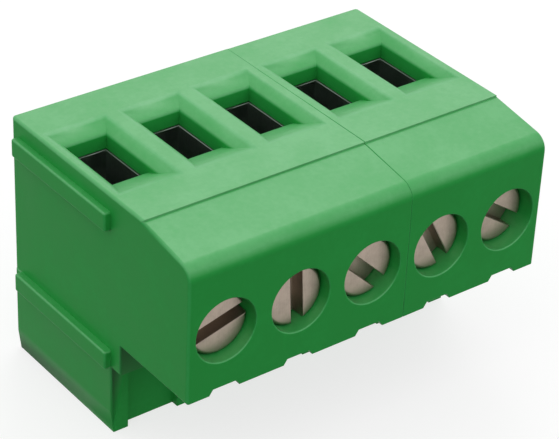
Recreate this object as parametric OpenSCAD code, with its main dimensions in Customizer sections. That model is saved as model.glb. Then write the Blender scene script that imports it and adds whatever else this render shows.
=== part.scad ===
// Plug half of a pluggable screw terminal. Two housing mouldings lock side by side.
// Each pole holds a captive screw, a rising clamp cage, a contact and its over-spring.
// Front (-Y): screws. Top (+Z): wire funnels. Bottom: mating face, at Z = 0.

/* [Poles] */
// Distance from one pole to the next
pitch = 5.08; // [5.00, 5.08]
// Poles in the left moulding
left_poles = 3; // [2, 3, 4]
// Poles in the right moulding
right_poles = 2; // [2, 3]

/* [Housing] */
// Depth from the screw face to the rear face
housing_d = 17.9; // [17.4:0.1:18.4]
// Height from the mating face to the wire face
housing_h = 16.25; // [16.25:0.05:17]
// Height of the screw face, measured where the slope would meet it
front_h = 15.4; // [15.2:0.1:15.6]
// Depth of the sloped brow in front of the flat top
slope_d = 4.43; // [4.2:0.01:4.6]
// Height of the small step between the flat top and the slope
ledge_h = 0.11; // [0.08:0.01:0.15]
// Radius of the brow's edge
brow_r = 1.0; // [0.6:0.1:1.2]
// Height of the overhang's underside
overhang_z = 6.68; // [6.5:0.01:6.8]
// Distance from the screw face to the plug block
plug_y = 7.5; // [7.3:0.1:7.6]
// Distance that the shoulder stands in front of the plug block
shoulder_d = 0.95; // [0.8:0.05:1.1]
// Height of the shoulder's underside, which stops the plug on its header
shoulder_z = 4.7; // [4.6:0.1:4.9]

/* [Wire entry] */
// Width of the funnel's mouth
funnel_w = 4.02; // [3.8:0.02:4.1]
// Distance from the screw face to the funnel's front edge
funnel_y = 7.4; // [7.2:0.1:7.6]
// Distance from the screw face to the funnel's back edge
funnel_back_y = 15.0; // [14.8:0.1:15.2]
// Depth of the steep chamfers at the sides and back
chamfer_h = 0.52; // [0.4:0.02:0.6]
// Depth at which the long front ramp ends
ramp_h = 0.97; // [0.8:0.01:1.0]
// Width of the throat
throat_w = 2.76; // [2.7:0.02:2.8]
// Distance from the screw face to the throat's front wall
throat_y = 9.75; // [9.7:0.01:9.8]
// Length of the throat from front to back
throat_d = 4.19; // [4.15:0.01:4.25]

/* [Clamp] */
// Height of the screw axis
screw_z = 10.7; // [10.5:0.05:10.8]
// Diameter of the screwdriver bore
bore_d = 4.0; // [4.0:0.02:4.1]
// Distance that the deepest screw head is set back
head_inset = 0.95; // [0.9:0.05:1.0]
// Length of the screw head
head_len = 2.0; // [1.8:0.1:2.1]
// Width of the screwdriver slot
slot_w = 0.85; // [0.6:0.05:0.9]
// Nominal thread diameter
thread_d = 2.5; // [2.4:0.1:2.5]
// Distance that the cage travels from open to closed
cage_travel = 4.0; // [3.6:0.1:4.0]

/* [Contact] */
// Thickness of the contact strip
strip_t = 0.6; // [0.5:0.05:0.6]
// Thickness of each fork leaf
leaf_t = 0.4; // [0.35:0.05:0.45]
// Gap between the leaves where they grip a pin
pinch_gap = 0.8; // [0.7:0.05:0.9]
// Thickness of the over-spring
spring_t = 0.25; // [0.2:0.05:0.3]

/* [Hidden] */
$fn = 48;
eps = 0.01;
pole_count = left_poles + right_poles;

// Side ribs and their grooves
rib_proud = 0.43;
rib_h = 1.2;
rib_end = 0.65;
rib_z = [shoulder_z, 14.0];
groove_play = 0.02;
side_relief = 0.05;

// Plug block: key channels in its front, lead-in at its ends
channel_d = 0.5;
channel_end_w = 1.2;
channel_mid_w = 0.4;
lead_in_w = 0.2;
lead_in_h = 1.7;

// Marker notches under the overhang, one below each screw
notch_w = 2.05;
notch_top_w = 1.55;
notch_h = 0.35;
notch_d = 2.4;

// Screw: each one has some play along its axis, so the heads stand at different depths
head_play = 0.09;
thread_play = 0.03;
neck_play = 0.1;
tip_play = 0.05;
bearing_play = 0.04;
rim_r = 0.22;
slot_depth = 1.0;
head_rises = [0.2, 0.3, 0.25, 0.2, 0];
slot_angles = [15, 94, -44, -62, -34];
slot_shifts = [0, -0.19, -0.2, 0, 0];

// Chambers inside the housing, behind the bulkhead that the screw heads bear on
bulkhead_y = head_inset + head_len + bearing_play;
bulkhead_d = 1.0;
chamber_w = 3.7;
chamber_front = bulkhead_y + bulkhead_d;
chamber_back = 15.0;
chamber_low = 7.24;
roof_t = 1.46;
chamber_top = housing_h - roof_t;
mating_front = 8.5;

// Clamp cage in its open place, with the contact's tongue just behind its front wall
cage_play = 0.04;
stop_play = 0.11;
tongue_play = 0.1;
closed_play = 0.06;
grip_h = 0.1;
grip_pitch = 0.9;
cage_w = 3.6;
cage_in_w = 2.6;
cage_r = 0.35;
cage_front_t = 0.9;
cage_back_t = 0.64;
cage_front = chamber_front + stop_play + cage_travel;
tongue_y = cage_front + cage_front_t + tongue_play;
cage_back = tongue_y + strip_t + closed_play + grip_h + cage_travel + cage_back_t;
cage_low = chamber_low + cage_play;
cage_top = chamber_top - cage_play;

// Contact: tongue, foot and fork
tongue_w = 2.4;
foot_z = 6.35;
pin_y = 11.9;
root_half = 0.8;
fork_top = 5.6;
fork_tip = 0.9;
pinch_at = 0.72;
flare = 0.45;
fork_steps = 12;

// Over-spring: band round the fork's root and two blades, shorter than the leaves
band_h = 0.6;
blade_w = 1.9;
blade_steps = 8;

block_w = pole_count * pitch;
left_x = -(block_w - rib_proud) / 2;

// Moves into the block's own coordinates: left end, screw face, mating face
module in_block() {
    translate([left_x, -housing_d / 2, 0]) children();
}

// A (y, z) outline drawn out along +X
module along_x(length) {
    rotate([90, 0, 90]) linear_extrude(length) children();
}

// An (x, z) outline drawn out along +Y, starting at y
module along_y(y, length) {
    translate([0, y + length, 0]) rotate([90, 0, 0]) linear_extrude(length) children();
}

function pole_x(i) = (i - 0.5) * pitch;

// Corner arc of a rectangle, from angle a to a + 90
function corner(cx, cy, r, a) = [for (k = [0:6]) [cx + r * cos(a + 15 * k), cy + r * sin(a + 15 * k)]];

// ---- housing ----

slope_a = atan((housing_h - ledge_h - front_h) / slope_d);
brow_z = front_h + brow_r * tan(slope_a) - brow_r / cos(slope_a);
brow_steps = 10;

function side_outline() = concat(
    [[0, overhang_z], [plug_y - shoulder_d, overhang_z], [plug_y - shoulder_d, shoulder_z]],
    [[plug_y, shoulder_z], [plug_y, 0], [housing_d, 0], [housing_d, housing_h]],
    [[slope_d, housing_h], [slope_d, housing_h - ledge_h]],
    [for (k = [0:brow_steps]) let (a = 90 + slope_a + (90 - slope_a) * k / brow_steps)
        [brow_r + brow_r * cos(a), brow_z + brow_r * sin(a)]]);

// Funnel mouth with steep sides and back, and a long shallow ramp in front
module funnel() {
    over = 0.5;
    deep = housing_h - chamber_top + over;
    intersection() {
        along_y(funnel_y - over, funnel_back_y - funnel_y + 2 * over)
            polygon([
                [-funnel_w / 2, housing_h + over], [-funnel_w / 2, housing_h],
                [-throat_w / 2, housing_h - chamfer_h], [-throat_w / 2, housing_h - deep],
                [throat_w / 2, housing_h - deep], [throat_w / 2, housing_h - chamfer_h],
                [funnel_w / 2, housing_h], [funnel_w / 2, housing_h + over]]);
        translate([-funnel_w / 2 - over, 0, 0]) along_x(funnel_w + 2 * over)
            polygon([
                [funnel_y, housing_h + over], [funnel_y, housing_h],
                [throat_y, housing_h - ramp_h], [throat_y, housing_h - deep],
                [throat_y + throat_d, housing_h - deep], [throat_y + throat_d, housing_h - chamfer_h],
                [funnel_back_y, housing_h], [funnel_back_y, housing_h + over]]);
    }
}

module screw_bore() {
    translate([0, -eps, screw_z]) rotate([-90, 0, 0]) cylinder(d = bore_d, h = bulkhead_y + eps);
    translate([0, 0, screw_z]) rotate([-90, 0, 0])
        cylinder(d = thread_d + 2 * neck_play, h = chamber_front + eps);
}

// Upper chamber for the cage, lower chamber open to the mating face
module chambers() {
    translate([-chamber_w / 2, chamber_front, chamber_low])
        cube([chamber_w, chamber_back - chamber_front, chamber_top - chamber_low]);
    translate([-chamber_w / 2, mating_front, -eps])
        cube([chamber_w, chamber_back - mating_front, chamber_low + 2 * eps]);
}

module marker_notch() {
    along_y(-eps, notch_d)
        polygon([
            [-notch_w / 2, overhang_z - eps], [notch_w / 2, overhang_z - eps],
            [notch_top_w / 2, overhang_z + notch_h], [-notch_top_w / 2, overhang_z + notch_h]]);
}

// Key channel in the plug block's front, between its end strips
module key_channel(left_strip, right_strip) {
    translate([left_strip - pitch / 2, plug_y - eps, -eps])
        cube([pitch - left_strip - right_strip, channel_d + eps, shoulder_z + eps]);
}

// Slanted lead-in at an end of the plug block; side is 1 at the left end, -1 at the right
module lead_in(side) {
    along_y(plug_y - eps, housing_d - plug_y + 2 * eps)
        polygon([[-side * eps, -eps], [side * lead_in_w, -eps], [-side * eps, lead_in_h]]);
}

// A moulding of n poles. Its ribs stand on the left end, its grooves are in the right end.
module housing(n) {
    width = n * pitch;
    difference() {
        union() {
            along_x(width) polygon(side_outline());
            for (z = rib_z)
                translate([-rib_proud, plug_y, z])
                    cube([rib_proud + eps, housing_d - plug_y - rib_end, rib_h]);
        }
        for (i = [1:n])
            translate([pole_x(i), 0, 0]) {
                screw_bore();
                chambers();
                funnel();
                marker_notch();
                key_channel(
                    i == 1 ? channel_end_w : channel_mid_w,
                    i == n ? channel_end_w : channel_mid_w);
            }
        for (z = rib_z)
            translate([width - rib_proud - groove_play, plug_y - groove_play, z - groove_play])
                cube([rib_proud + groove_play + eps, housing_d, rib_h + 2 * groove_play]);
        translate([-eps, plug_y, rib_z[0] + rib_h])
            cube([side_relief + eps, housing_d, rib_z[1] - rib_z[0] - rib_h]);
        lead_in(1);
        translate([width, 0, 0]) lead_in(-1);
    }
}

module housing_three_pole() {
    color("#4fa468") in_block() housing(left_poles);
}

module housing_two_pole() {
    color("#4a9c63") in_block() translate([left_poles * pitch, 0, 0]) housing(right_poles);
}

// ---- clamp ----

// Turned about the Y axis: slotted head with a rounded rim, then the threaded shank
module clamp_screw(i) {
    head_r = bore_d / 2 - head_play;
    shank_r = thread_d / 2;
    length = tongue_y - tip_play - head_inset;
    k = (i - 1) % len(slot_angles);
    color("#b0a395") in_block() translate([pole_x(i), head_inset - head_rises[k], screw_z]) difference() {
        rotate([-90, 0, 0]) rotate_extrude()
            polygon(concat(
                [[0, 0]],
                [for (a = [-90:15:0]) [head_r - rim_r + rim_r * cos(a), rim_r + rim_r * sin(a)]],
                [[head_r, head_len], [shank_r, head_len], [shank_r, length - 2 * rim_r]],
                [[shank_r - 2 * rim_r, length], [0, length]]));
        rotate([0, -slot_angles[k], 0])
            translate([-bore_d / 2, -eps, slot_shifts[k] - slot_w / 2])
                cube([bore_d, slot_depth + eps, slot_w]);
    }
}

// Box of folded sheet round the tongue and the wire, tapped in its front wall
module clamp_cage(i) {
    inner_y = cage_front + cage_front_t;
    inner_d = cage_back - cage_back_t - inner_y;
    half = cage_w / 2 - cage_r;
    color("#c9c6bd") in_block() translate([pole_x(i), 0, 0]) union() {
        difference() {
            translate([0, 0, cage_low]) linear_extrude(cage_top - cage_low) polygon(concat(
                corner(half, cage_back - cage_r, cage_r, 0),
                corner(-half, cage_back - cage_r, cage_r, 90),
                corner(-half, cage_front + cage_r, cage_r, 180),
                corner(half, cage_front + cage_r, cage_r, 270)));
            translate([-cage_in_w / 2, inner_y, cage_low - eps])
                cube([cage_in_w, inner_d, cage_top - cage_low + 2 * eps]);
            translate([0, cage_front - eps, screw_z]) rotate([-90, 0, 0])
                cylinder(d = thread_d + 2 * thread_play, h = cage_front_t + 2 * eps);
        }
        // Grip ridges on the back wall, across the wire
        for (k = [-1:1])
            translate([-cage_in_w / 2, inner_y + inner_d, screw_z + k * grip_pitch]) along_x(cage_in_w)
                polygon([[eps, -grip_h], [-grip_h, 0], [eps, grip_h]]);
    }
}

// ---- contact ----

function smooth(t) = t * t * (3 - 2 * t);

// Half of the gap between the leaves, t from 0 at the fork's top to 1 at its tip
function half_gap(t) = t < pinch_at
    ? root_half + (pinch_gap / 2 - root_half) * smooth(t / pinch_at)
    : pinch_gap / 2 + flare * pow((t - pinch_at) / (1 - pinch_at), 2);

// Outline of a leaf or blade of thickness t, a distance off from the gap's curve, n steps long
function blade_outline(side, off, t, n) = concat(
    [for (k = [0:n]) [pin_y + side * (half_gap(k / fork_steps) + off), fork_z(k)]],
    [for (k = [n:-1:0]) [pin_y + side * (half_gap(k / fork_steps) + off + t), fork_z(k)]]);

function fork_z(k) = fork_top + (fork_tip - fork_top) * k / fork_steps;

// Tongue behind the screw tip, foot across the chamber, fork of two leaves for the header pin
module contact(i) {
    foot_back = pin_y + root_half + leaf_t;
    color("#c8b06a") in_block() translate([pole_x(i), 0, 0]) union() {
        translate([-tongue_w / 2, tongue_y, foot_z]) cube([tongue_w, strip_t, chamber_top - foot_z]);
        translate([-chamber_w / 2, tongue_y, foot_z]) cube([chamber_w, foot_back - tongue_y, strip_t]);
        for (side = [-1, 1]) {
            root_y = pin_y + side * (root_half + leaf_t / 2);
            translate([-tongue_w / 2, root_y - leaf_t / 2, fork_top])
                cube([tongue_w, leaf_t, foot_z + eps - fork_top]);
            translate([-tongue_w / 2, 0, 0]) along_x(tongue_w)
                polygon(blade_outline(side, 0, leaf_t, fork_steps));
        }
    }
}

// Band round the fork's root, with a blade that presses on each leaf
module contact_spring(i) {
    inner_d = 2 * (root_half + leaf_t);
    outer_w = tongue_w + 2 * spring_t;
    outer_d = inner_d + 2 * spring_t;
    color("#8f9499") in_block() translate([pole_x(i), 0, 0]) union() {
        difference() {
            translate([-outer_w / 2, pin_y - outer_d / 2, fork_top]) cube([outer_w, outer_d, band_h]);
            translate([-tongue_w / 2, pin_y - inner_d / 2, fork_top - eps])
                cube([tongue_w, inner_d, band_h + 2 * eps]);
        }
        for (side = [-1, 1])
            translate([-blade_w / 2, 0, 0]) along_x(blade_w)
                polygon(blade_outline(side, leaf_t, spring_t, blade_steps));
    }
}

housing_three_pole();
housing_two_pole();
for (i = [1:pole_count]) clamp_screw(i);
for (i = [1:pole_count]) clamp_cage(i);
for (i = [1:pole_count]) contact(i);
for (i = [1:pole_count]) contact_spring(i);
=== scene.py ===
import math

import bmesh
import bpy
from mathutils import Matrix, Vector


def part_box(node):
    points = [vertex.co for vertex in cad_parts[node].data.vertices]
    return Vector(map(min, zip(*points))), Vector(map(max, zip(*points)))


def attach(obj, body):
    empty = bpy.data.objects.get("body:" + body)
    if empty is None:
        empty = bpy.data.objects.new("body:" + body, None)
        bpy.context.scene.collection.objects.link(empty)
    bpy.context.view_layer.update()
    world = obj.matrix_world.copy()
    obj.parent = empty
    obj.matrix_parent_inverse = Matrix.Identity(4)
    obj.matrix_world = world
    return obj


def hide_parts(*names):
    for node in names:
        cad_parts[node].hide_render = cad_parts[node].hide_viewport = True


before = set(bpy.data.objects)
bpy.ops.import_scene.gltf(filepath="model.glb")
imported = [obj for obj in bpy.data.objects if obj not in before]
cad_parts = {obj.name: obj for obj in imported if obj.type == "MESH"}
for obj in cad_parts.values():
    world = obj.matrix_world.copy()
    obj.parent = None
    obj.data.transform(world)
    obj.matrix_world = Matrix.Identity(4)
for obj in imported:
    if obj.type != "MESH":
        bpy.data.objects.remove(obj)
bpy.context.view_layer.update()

mm = 0.001
scene = bpy.context.scene


# ---- small helpers

class Signal:
    # a node's output; an expression on it adds Math nodes
    def __init__(self, sheet, socket):
        self.sheet, self.socket = sheet, socket

    def combine(self, operation, first, second=0.0, third=0.0):
        return self.sheet.add("ShaderNodeMath", {"operation": operation}, {0: first, 1: second, 2: third})

    def __add__(self, other):
        return self.combine("ADD", self, other)

    def __radd__(self, other):
        return self.combine("ADD", other, self)

    def __sub__(self, other):
        return self.combine("SUBTRACT", self, other)

    def __rsub__(self, other):
        return self.combine("SUBTRACT", other, self)

    def __mul__(self, other):
        return self.combine("MULTIPLY", self, other)

    def __rmul__(self, other):
        return self.combine("MULTIPLY", other, self)

    def __truediv__(self, other):
        return self.combine("DIVIDE", self, other)

    def __neg__(self):
        return self.combine("MULTIPLY", self, -1.0)

    def wave(self):
        return self.combine("SINE", self)

    def limited(self):  # held between 0 and 1
        return self.sheet.add("ShaderNodeClamp", {}, {"Value": self})


class NodeSheet:
    # adds nodes to one tree: its type, its settings, then the values or links of its sockets
    def __init__(self, tree):
        self.tree = tree

    def add(self, kind, settings=None, sockets=None, output=0):
        node = self.tree.nodes.new(kind)
        for name, value in (settings or {}).items():
            if name == "stops":
                self.setStops(node.color_ramp, value)
            else:
                setattr(node, name, value)
        for name, value in (sockets or {}).items():
            for item in value if isinstance(value, list) else [value]:
                if isinstance(item, Signal):
                    self.tree.links.new(item.socket, node.inputs[name])
                else:
                    node.inputs[name].default_value = item
        return Signal(self, node.outputs[output]) if len(node.outputs) else node

    def setStops(self, ramp, stops):
        while len(ramp.elements) < len(stops):
            ramp.elements.new(1.0)
        for element, (place, shade) in zip(ramp.elements, stops):
            element.position, element.color = place, shade

    def mixColour(self, share, first, second):
        return self.add("ShaderNodeMix", {"data_type": "RGBA"}, {0: share, 6: first, 7: second}, 2)

    def noise(self, place, size, detail=2.0, roughness=0.5):
        # size is the width of one blotch, in metres
        return self.add("ShaderNodeTexNoise", {}, {
            "Vector": place, "Scale": 1.0 / size, "Detail": detail, "Roughness": roughness})


def newFinish(name):
    finish = bpy.data.materials.new(name)
    finish.use_nodes = True
    finish.node_tree.nodes.clear()
    return finish, NodeSheet(finish.node_tree)


def useShader(sheet, shader):
    sheet.add("ShaderNodeOutputMaterial", {}, {"Surface": shader})


def newPiece(name, mesh, finish, body, node, slot):
    piece = bpy.data.objects.new(name, mesh)
    scene.collection.objects.link(piece)
    mesh.materials.clear()
    mesh.materials.append(finish)
    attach(piece, body)
    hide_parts(node)
    return piece


# ---- finishes

plasticLook = {
    "colour": (0.022, 0.330, 0.056, 1.0),
    # the second colour is the frost mottle's tone and also a painted sheen on faces that look up
    "frostAndPaintedSheenColour": (0.040, 0.440, 0.095, 1.0),
    # the third colour is a painted highlight along the roundings
    "paintedEdgeHighlightColour": (0.060, 0.430, 0.120, 1.0),
    "roughness": 0.42,
    "gloss": 0.08,
    "polishRoughness": 0.46,
    "polishIOR": 1.8,
    "grain": 0.11 * mm,
    "grainHeight": 0.0025 * mm,
}


def mouldedPlastic():
    look = plasticLook
    finish, sheet = newFinish("mouldedPlastic")
    place = sheet.add("ShaderNodeTexCoord", output=3)
    clouds = sheet.noise(place, 3.2 * mm, 3.0, 0.55)
    flecks = sheet.noise(place, 0.35 * mm, 2.0, 0.6)
    grain = sheet.noise(place, look["grain"], 2.0, 0.6)
    frost = ((clouds - 0.45) * 1.6 + (flecks - 0.5) * 0.9).limited()
    rounded = sheet.add("ShaderNodeAttribute", {"attribute_name": "rounded"}, output=2)
    polished = sheet.add("ShaderNodeAttribute", {"attribute_name": "polished"}, output=2)
    # faces that look up are mixed towards the paler colour: a painted sheen standing in for lamp haze on the
    # top and slope; the frost share is real mottled tone
    ground = sheet.mixColour(frost * 0.4 + polished * 0.6, look["colour"], look["frostAndPaintedSheenColour"])
    # roundings are mixed towards a lighter green: a painted highlight along the edges, broken up by the
    # flecks
    colour = sheet.mixColour(rounded * (0.35 + flecks * 0.4), ground, look["paintedEdgeHighlightColour"])
    roughness = look["roughness"] + (clouds - 0.5) * 0.16 + (flecks - 0.5) * 0.1
    coat = polished * (0.55 + clouds * 0.7 + (flecks - 0.5) * 0.4)
    ripples = sheet.noise(place, 1.6 * mm, 1.0, 0.4)
    height = grain * look["grainHeight"] + ripples * (0.004 * mm)
    relief = sheet.add("ShaderNodeBump", {}, {"Height": height / mm, "Distance": 1.0 * mm, "Strength": 0.8})
    shader = sheet.add("ShaderNodeBsdfPrincipled", {}, {
        "Base Color": colour, "Roughness": roughness, "Specular IOR Level": look["gloss"],
        "Coat Weight": coat.limited(), "Coat Roughness": look["polishRoughness"],
        "Coat IOR": look["polishIOR"], "Normal": relief, "Coat Normal": relief})
    useShader(sheet, shader)
    return finish


metalLooks = {
    "screwPlating": {"colour": (0.42, 0.345, 0.285, 1.0), "dullColour": (0.30, 0.255, 0.215, 1.0),
                     "roughness": 0.42, "blotch": 0.9 * mm, "line": 0.05 * mm, "lineHeight": 0.0016},
    "cagePlating": {"colour": (0.36, 0.42, 0.38, 1.0), "dullColour": (0.25, 0.30, 0.27, 1.0),
                    "roughness": 0.36, "blotch": 0.7 * mm, "line": 0.08 * mm, "lineHeight": 0.001},
    "tinPlating": {"colour": (0.68, 0.65, 0.58, 1.0), "dullColour": (0.50, 0.47, 0.41, 1.0),
                   "roughness": 0.33, "blotch": 0.5 * mm, "line": 0.1 * mm, "lineHeight": 0.0008},
    "springSteel": {"colour": (0.46, 0.47, 0.48, 1.0), "dullColour": (0.34, 0.35, 0.36, 1.0),
                    "roughness": 0.28, "blotch": 0.6 * mm, "line": 0.04 * mm, "lineHeight": 0.0006},
}


def platedMetal(name, turned=False):
    # turned: rings round the screw's own axis; otherwise lines along the rolled strip
    look = metalLooks[name]
    finish, sheet = newFinish(name)
    if turned:
        place = sheet.add("ShaderNodeAttribute", {"attribute_name": "place"}, output=1)
        flat = sheet.add("ShaderNodeVectorMath", {"operation": "MULTIPLY"}, {0: place, 1: (1.0, 0.0, 1.0)})
        radius = sheet.add("ShaderNodeVectorMath", {"operation": "LENGTH"}, {0: flat}, 1)
        lines = sheet.add("ShaderNodeTexNoise", {"noise_dimensions": "1D"}, {
            "W": radius, "Scale": 1.0 / look["line"], "Detail": 3.0})
    else:
        place = sheet.add("ShaderNodeTexCoord", output=3)
        drawn = sheet.add("ShaderNodeMapping", {}, {"Vector": place, "Scale": (1.0, 1.0, 0.06)})
        lines = sheet.noise(drawn, look["line"], 3.0)
    blotches = sheet.noise(place, look["blotch"], 3.0, 0.6)
    specks = sheet.noise(place, 0.12 * mm, 2.0, 0.6)
    dull = ((blotches - 0.42) * 2.2 + (lines - 0.5) * 0.9 + (specks - 0.5) * 0.7).limited()
    colour = sheet.mixColour(dull * 0.7, look["colour"], look["dullColour"])
    roughness = look["roughness"] + dull * 0.14 + (lines - 0.5) * 0.12
    relief = sheet.add("ShaderNodeBump", {}, {
        "Height": lines * look["lineHeight"] + specks * (look["lineHeight"] * 0.6),
        "Distance": 1.0 * mm, "Strength": 0.7})
    shader = sheet.add("ShaderNodeBsdfPrincipled", {}, {
        "Base Color": colour, "Metallic": 1.0, "Roughness": roughness, "Normal": relief})
    useShader(sheet, shader)
    return finish


plasticFinish = mouldedPlastic()
screwFinish = platedMetal("screwPlating", turned=True)
cageFinish = platedMetal("cagePlating")
contactFinish = platedMetal("tinPlating")
springFinish = platedMetal("springSteel")
print("finishes made")


# ---- softened copies of the solids

def markSurface(mesh):
    # rounded: 1 along the middle of a rounding, which carries a painted highlight; the up-facing mask: 1 on
    # faces that look up, which get a glossier coat and a paler colour that is painted sheen
    inRounding = [False] * len(mesh.vertices)
    onFlat = [False] * len(mesh.vertices)
    polished = mesh.attributes.new("polished", "FLOAT", "CORNER")
    for face in mesh.polygons:
        rounding = face.material_index == 1
        for corner in face.loop_indices:
            vertex = mesh.loops[corner].vertex_index
            inRounding[vertex] |= rounding
            onFlat[vertex] |= not rounding
            up = mesh.corner_normals[corner].vector.z
            polished.data[corner].value = min(1.0, max(0.0, (up - 0.25) / 0.4))
        face.material_index = 0
    rounded = mesh.attributes.new("rounded", "FLOAT", "POINT")
    for vertex, mark in enumerate(rounded.data):
        mark.value = 1.0 if inRounding[vertex] and not onFlat[vertex] else 0.0


def softenedCopy(node, name, widthAt, segments, sharpAngle=30.0):
    # widthAt(first, second, turn) gives an edge's rounding in mm; turn is positive on an outer edge
    shape = bmesh.new()
    shape.from_mesh(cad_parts[node].data)
    bmesh.ops.remove_doubles(shape, verts=shape.verts, dist=0.001 * mm)
    bmesh.ops.dissolve_limit(shape, angle_limit=math.radians(0.4), verts=shape.verts, edges=shape.edges)
    shape.normal_update()
    weights = shape.edges.layers.float.new("bevel_weight_edge")
    for edge in shape.edges:
        turn = math.degrees(edge.calc_face_angle_signed(0.0))
        first, second = (v.co / mm for v in edge.verts)
        edge[weights] = widthAt(first, second, turn) if abs(turn) > 15 else 0.0
        edge.smooth = abs(turn) < sharpAngle or edge[weights] > 0
    widest = max(edge[weights] for edge in shape.edges)
    for edge in shape.edges:
        edge[weights] /= widest
    for face in shape.faces:
        face.smooth = True
    mesh = bpy.data.meshes.new(name)
    shape.to_mesh(mesh)
    shape.free()
    if "custom_normal" in mesh.attributes:
        mesh.attributes.remove(mesh.attributes["custom_normal"])
    for _ in range(2):  # the second slot marks the roundings
        mesh.materials.append(None)
    holder = bpy.data.objects.new(name + "Rough", mesh)
    scene.collection.objects.link(holder)
    rounding = holder.modifiers.new("rounding", "BEVEL")
    rounding.limit_method, rounding.width, rounding.segments = "WEIGHT", widest * mm, segments
    rounding.use_clamp_overlap = False
    rounding.miter_outer = "MITER_SHARP"
    rounding.material = 1
    shading = holder.modifiers.new("shading", "WEIGHTED_NORMAL")
    shading.keep_sharp = True
    done = bpy.data.meshes.new_from_object(holder.evaluated_get(bpy.context.evaluated_depsgraph_get()))
    done.name = name
    bpy.data.objects.remove(holder)
    markSurface(done)
    return done


# ---- housings

pitch = 5.08
lowest, highest = (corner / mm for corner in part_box("housing_three_pole"))
leftEnd = lowest.x + 0.43  # the ribs stand this far out of the end face
frontFace, rearFace, topFace = lowest.y, highest.y, highest.z

housingEdges = {  # mm
    "top": 0.18,
    "end": 0.18,
    "rear": 0.32,
    "seam": 0.06,
    "funnelMouth": 0.22,
    "throat": 0.13,
    "boreRim": 0.09,
    "rib": 0.13,
    "underside": 0.06,
    "plug": 0.12,
    "segments": 3,
}


def near(value, target, play=0.012):
    return abs(value - target) < play


def housingWidths(low, high):
    # low and high are the moulding's two ends along the row
    size = housingEdges

    def widthAt(first, second, turn):
        if turn < 0:
            return 0.0
        both = lambda axis, target: near(first[axis], target) and near(second[axis], target)
        atTop = both(2, topFace)
        atRear = both(1, rearFace)
        atFront = both(1, frontFace)
        atLow, atHigh = both(0, low), both(0, high)
        middle = (first + second) / 2
        outer = (atLow and near(low, leftEnd)) or (atHigh and near(high, leftEnd + 5 * pitch))
        if atLow or atHigh:
            if not outer:
                return size["seam"]
            if atRear:
                return size["rear"]
            if atTop or middle.z > topFace - 1.6:
                return size["top"]
            return size["end"] if middle.z > 6.0 else size["plug"]
        if atRear:
            return size["top"]
        if atTop:
            return 0.0 if both(1, frontFace + 4.43) else size["funnelMouth"]
        if atFront:
            if near(middle.z, 6.68) or middle.z < 7.1:
                return size["underside"]
            return size["boreRim"]
        if middle.x < low - 0.01:
            return size["rib"]
        depth = middle.y - frontFace
        if middle.z > topFace - 1.0 and 7.3 < depth < 15.1:
            return size["throat"]
        return 0.0

    return widthAt


for node, name, first, last in (
    ("housing_three_pole", "housingThreePole", 0, 3),
    ("housing_two_pole", "housingTwoPole", 3, 5),
):
    widths = housingWidths(leftEnd + first * pitch, leftEnd + last * pitch)
    mesh = softenedCopy(node, name, widths, housingEdges["segments"])
    newPiece(name, mesh, plasticFinish, "housing", node, "housing_plastic")
    print(name, len(mesh.polygons), "faces")


# ---- clamp screws

screwSizes = {  # mm, degrees
    "headRadius": 1.91,
    "rimRadius": 0.22,
    "headLength": 2.0,
    "coreRadius": 1.0,
    "threadRadius": 1.25,
    "threadPitch": 0.45,
    "slotWidth": 0.85,
    "slotDepth": 1.0,
    "slotEdge": 0.045,
    "axisHeight": 10.7,
    "slotAngles": [15, 94, -44, -62, -34],
    "slotShifts": [0.0, -0.19, -0.2, 0.0, 0.0],
}


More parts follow.
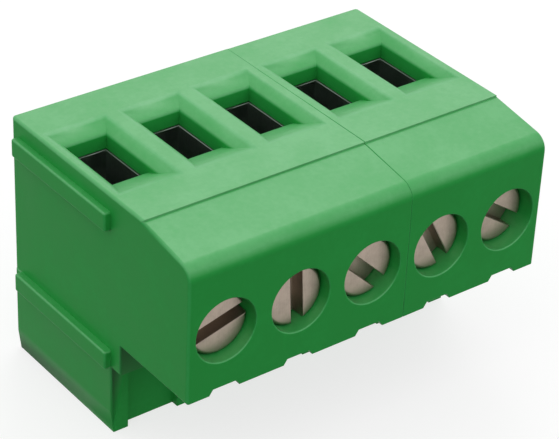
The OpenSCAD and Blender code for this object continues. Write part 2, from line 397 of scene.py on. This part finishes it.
def screwTree():
    tree = bpy.data.node_groups.new("slottedScrew", "GeometryNodeTree")
    tree.is_modifier = True
    for name, kind in (
        ("Head Radius", "Float"), ("Rim Radius", "Float"), ("Head Length", "Float"),
        ("Length", "Float"), ("Core Radius", "Float"), ("Thread Radius", "Float"),
        ("Thread Pitch", "Float"), ("Slot Width", "Float"), ("Slot Depth", "Float"),
        ("Slot Edge", "Float"), ("Slot Angle", "Float"), ("Slot Shift", "Float"),
        ("Centre", "Vector"), ("Finish", "Material"),
    ):
        tree.interface.new_socket(name, in_out="INPUT", socket_type="NodeSocket" + kind)
    tree.interface.new_socket("Geometry", in_out="OUTPUT", socket_type="NodeSocketGeometry")
    sheet = NodeSheet(tree)
    given = tree.nodes.new("NodeGroupInput")
    value = {s.name: Signal(sheet, s) for s in given.outputs if s.name}

    def vector(x, y, z):
        return sheet.add("ShaderNodeCombineXYZ", {}, {"X": x, "Y": y, "Z": z})

    def quad(points):
        return sheet.add("GeometryNodeCurvePrimitiveQuadrilateral", {"mode": "POINTS"}, {
            f"Point {i + 1}": vector(x, y, 0.0) for i, (x, y) in enumerate(points)})

    def swept(path, profile, caps):
        return sheet.add("GeometryNodeCurveToMesh", {}, {
            "Curve": path, "Profile Curve": profile, "Fill Caps": caps})

    # head: an outline with one rounded corner, turned about Z, its face at Z = 0 and its shank towards +Z
    headR, headL = value["Head Radius"], value["Head Length"]
    corner = sheet.add("FunctionNodeCompare", {"data_type": "INT", "operation": "EQUAL"}, {
        2: sheet.add("GeometryNodeInputIndex"), 3: 1})
    outline = sheet.add("GeometryNodeFilletCurve", {"mode": "POLY"}, {
        "Curve": quad([(-headR, 0.0), (0.0, 0.0), (0.0, -headL), (-headR, -headL)]),
        "Count": 7, "Radius": corner * value["Rim Radius"], "Limit Radius": True})
    ring = sheet.add("GeometryNodeCurvePrimitiveCircle", {"mode": "RADIUS"}, {
        "Resolution": 96, "Radius": headR})
    head = sheet.add("GeometryNodeMergeByDistance", {}, {
        "Geometry": swept(ring, outline, False), "Distance": 0.002 * mm})

    # slot: a straight cut with broken edges, through the whole head
    half, edge = value["Slot Width"] * 0.5, value["Slot Edge"]
    over = 0.1 * mm
    line = sheet.add("GeometryNodeCurvePrimitiveLine", {"mode": "POINTS"}, {
        "Start": vector(-(headR * 1.2), 0.0, 0.0), "End": vector(headR * 1.2, 0.0, 0.0)})
    cutPath = sheet.add("GeometryNodeSetCurveNormal", {"mode": "Z_UP"}, {"Curve": line})
    depth = value["Slot Depth"]
    deepCut = quad([(-half, -depth), (half, -depth), (half, over), (-half, over)])
    edgeCut = quad([(-half, -edge), (half, -edge), (half + edge + over, over), (-(half + edge + over), over)])
    turnSlot = vector(0.0, 0.0, value["Slot Angle"])
    cutters = []
    for profile in (deepCut, edgeCut):
        bar = swept(cutPath, profile, True)
        moved = sheet.add("GeometryNodeTransform", {}, {
            "Geometry": bar, "Translation": vector(0.0, value["Slot Shift"], 0.0)})
        cutters.append(sheet.add("GeometryNodeTransform", {}, {"Geometry": moved, "Rotation": turnSlot}))
    slotted = sheet.add("GeometryNodeMeshBoolean", {"operation": "DIFFERENCE", "solver": "EXACT"}, {
        0: head, 1: cutters})

    # shank: a core with one helical ridge that stops short of the tip
    core, tip = value["Core Radius"], value["Thread Radius"]
    run = value["Length"] - headL
    shank = sheet.add("GeometryNodeTransform", {}, {
        "Geometry": sheet.add("GeometryNodeMeshCylinder", {}, {
            "Vertices": 40, "Radius": core, "Depth": run}),
        "Translation": vector(0.0, 0.0, headL + run * 0.5)})
    threadRun = run - 0.9 * mm
    helix = sheet.add("GeometryNodeCurveSpiral", {}, {
        "Resolution": 30, "Rotations": threadRun / value["Thread Pitch"],
        "Start Radius": core, "End Radius": core, "Height": threadRun})
    upright = sheet.add("GeometryNodeSetCurveNormal", {"mode": "Z_UP"}, {"Curve": helix})
    rise, foot = tip - core, value["Thread Pitch"] * 0.42
    ridge = quad([(0.05 * mm, foot), (-rise, foot * 0.16), (-rise, foot * -0.16), (0.05 * mm, -foot)])
    thread = sheet.add("GeometryNodeTransform", {}, {
        "Geometry": swept(upright, ridge, True), "Translation": vector(0.0, 0.0, headL + 0.3 * mm)})

    # the screw's own coordinates stay on it for its finish, then it is laid along Y in its place
    joined = sheet.add("GeometryNodeJoinGeometry", {}, {"Geometry": [slotted, shank, thread]})
    marked = sheet.add("GeometryNodeStoreNamedAttribute", {"data_type": "FLOAT_VECTOR", "domain": "POINT"}, {
        "Geometry": joined, "Name": "place", "Value": sheet.add("GeometryNodeInputPosition")})
    laid = sheet.add("GeometryNodeTransform", {}, {
        "Geometry": marked, "Rotation": (math.radians(-90), 0.0, 0.0), "Translation": value["Centre"]})
    real = sheet.add("GeometryNodeRealizeInstances", {}, {"Geometry": laid})
    finished = sheet.add("GeometryNodeSetMaterial", {}, {"Geometry": real, "Material": value["Finish"]})
    sheet.add("NodeGroupOutput", {}, {"Geometry": finished})
    return tree


def makeScrew(tree, number):
    size = screwSizes
    low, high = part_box(f"clamp_screw_{number}")
    inputs = {
        "Head Radius": size["headRadius"] * mm, "Rim Radius": size["rimRadius"] * mm,
        "Head Length": size["headLength"] * mm, "Length": high.y - low.y,
        "Core Radius": size["coreRadius"] * mm, "Thread Radius": size["threadRadius"] * mm,
        "Thread Pitch": size["threadPitch"] * mm, "Slot Width": size["slotWidth"] * mm,
        "Slot Depth": size["slotDepth"] * mm, "Slot Edge": size["slotEdge"] * mm,
        "Slot Angle": -math.radians(size["slotAngles"][number - 1]),
        "Slot Shift": -size["slotShifts"][number - 1] * mm,
        "Centre": ((low.x + high.x) / 2, low.y, size["axisHeight"] * mm),
        "Finish": screwFinish,
    }
    name = f"clampScrew{number}"
    holder = bpy.data.objects.new(name + "Rough", bpy.data.meshes.new(name + "Rough"))
    scene.collection.objects.link(holder)
    maker = holder.modifiers.new("slottedScrew", "NODES")
    maker.node_group = tree
    for item in tree.interface.items_tree:
        if item.in_out == "INPUT":
            maker[item.identifier] = inputs[item.name]
    mesh = bpy.data.meshes.new_from_object(holder.evaluated_get(bpy.context.evaluated_depsgraph_get()))
    mesh.name = name
    holder.modifiers.remove(maker)
    bpy.data.objects.remove(holder)
    mesh.shade_smooth()
    mesh.set_sharp_from_angle(angle=math.radians(35))
    return newPiece(name, mesh, screwFinish, f"screw_{number}", f"clamp_screw_{number}", "screw_metal")


slottedScrew = screwTree()
for number in range(1, 6):
    screw = makeScrew(slottedScrew, number)
print("screws made,", len(screw.data.polygons), "faces each")


# ---- cages, contacts and springs

metalEdges = {"cage": 0.05, "contact": 0.05, "spring": 0.03, "segments": 2}  # mm


def evenWidths(width):
    return lambda first, second, turn: width if turn > 50 and (second - first).length > 0.12 else 0.0


for number in range(1, 6):
    for node, kind, body, slot, finish, width in (
        ("clamp_cage", "clampCage", f"cage_{number}", "cage_metal", cageFinish, metalEdges["cage"]),
        ("contact", "contact", "housing", "contact_metal", contactFinish, metalEdges["contact"]),
        ("contact_spring", "contactSpring", "housing", "spring_metal", springFinish, metalEdges["spring"]),
    ):
        mesh = softenedCopy(f"{node}_{number}", f"{kind}{number}", evenWidths(width), metalEdges["segments"])
        newPiece(f"{kind}{number}", mesh, finish, body, f"{node}_{number}", slot)
print("cages, contacts and springs made")


# ---- floor, lamps and camera

stageLook = {
    "floorColour": (0.04, 0.04, 0.04, 1.0),
    "worldStrength": 0.90,
    "keyPower": 0.25,
    "fillPower": 0.005,
}


def makeFloor():
    finish, sheet = newFinish("paperFloor")
    path = sheet.tree.nodes.new("ShaderNodeLightPath")
    seen = sum(Signal(sheet, path.outputs[f"Is {ray} Ray"]) for ray in ("Camera", "Glossy", "Transmission"))
    paper = sheet.add("ShaderNodeBsdfDiffuse", {}, {"Color": stageLook["floorColour"]})
    bright = sheet.add("ShaderNodeAddShader", {}, {
        0: sheet.add("ShaderNodeBsdfDiffuse", {}, {"Color": (0.3, 0.3, 0.3, 1.0)}),
        1: sheet.add("ShaderNodeEmission", {}, {"Color": (1.0, 1.0, 1.0, 1.0), "Strength": 0.73})})
    useShader(sheet, sheet.add("ShaderNodeMixShader", {}, {0: seen.limited(), 1: paper, 2: bright}))
    mesh = bpy.data.meshes.new("paperFloor")
    reach = 1.5
    mesh.from_pydata([(-reach, -reach, 0), (reach, -reach, 0), (reach, reach, 0), (-reach, reach, 0)],
                     [], [(0, 1, 2, 3)])
    floor = bpy.data.objects.new("paperFloor", mesh)
    scene.collection.objects.link(floor)
    mesh.materials.append(finish)


def makeWorld():
    world = bpy.data.worlds.new("studio")
    world.use_nodes = True
    world.node_tree.nodes.clear()
    sheet = NodeSheet(world.node_tree)
    shine = sheet.add("ShaderNodeBackground", {}, {
        "Color": (1.0, 1.0, 1.0, 1.0), "Strength": stageLook["worldStrength"]})
    sheet.add("ShaderNodeOutputWorld", {}, {"Surface": shine})
    scene.world = world


def makeLamp(name, azimuth, elevation, distance, size, power):
    # azimuth is measured from +Y towards +X, round the middle of the part
    a, e = math.radians(azimuth), math.radians(elevation)
    toward = Vector((math.sin(a) * math.cos(e), math.cos(a) * math.cos(e), math.sin(e)))
    lamp = bpy.data.lights.new(name, "AREA")
    lamp.shape, lamp.size, lamp.size_y = "RECTANGLE", size[0], size[1]
    lamp.energy = power
    holder = bpy.data.objects.new(name, lamp)
    holder.location = Vector((0, 0, 0.01)) + toward * distance
    holder.rotation_mode = "QUATERNION"
    holder.rotation_quaternion = toward.to_track_quat("Z", "Y")
    scene.collection.objects.link(holder)


cameraPlace = {
    "position": (-69.18, -87.798, 80.218),  # mm
    "azimuth": 38.401,
    "elevation": -32.279,
    "roll": -2.705,
    "lens": 143.906,
}


def makeCamera():
    place = cameraPlace
    a, e, r = (math.radians(place[k]) for k in ("azimuth", "elevation", "roll"))
    forward = Vector((math.sin(a) * math.cos(e), math.cos(a) * math.cos(e), math.sin(e)))
    right = forward.cross(Vector((0, 0, 1))).normalized()
    up = right.cross(forward)
    up, right = up * math.cos(r) + right * math.sin(r), right * math.cos(r) - up * math.sin(r)
    camera = bpy.data.objects.new("camera", bpy.data.cameras.new("camera"))
    camera.data.lens, camera.data.sensor_width = place["lens"], 36.0
    camera.data.clip_start, camera.data.clip_end = 0.002, 20.0
    turn = Matrix((right, up, -forward)).transposed().to_4x4()
    camera.matrix_world = Matrix.Translation(Vector(place["position"]) * mm) @ turn
    scene.collection.objects.link(camera)
    scene.camera = camera


makeFloor()
makeWorld()
makeLamp("keySoftbox", 42, 44, 0.45, (0.18, 0.18), stageLook["keyPower"])
makeLamp("frontFill", -160, 25, 0.30, (0.30, 0.20), stageLook["fillPower"])
makeCamera()
scene.view_settings.view_transform = "Standard"
print("stage set")
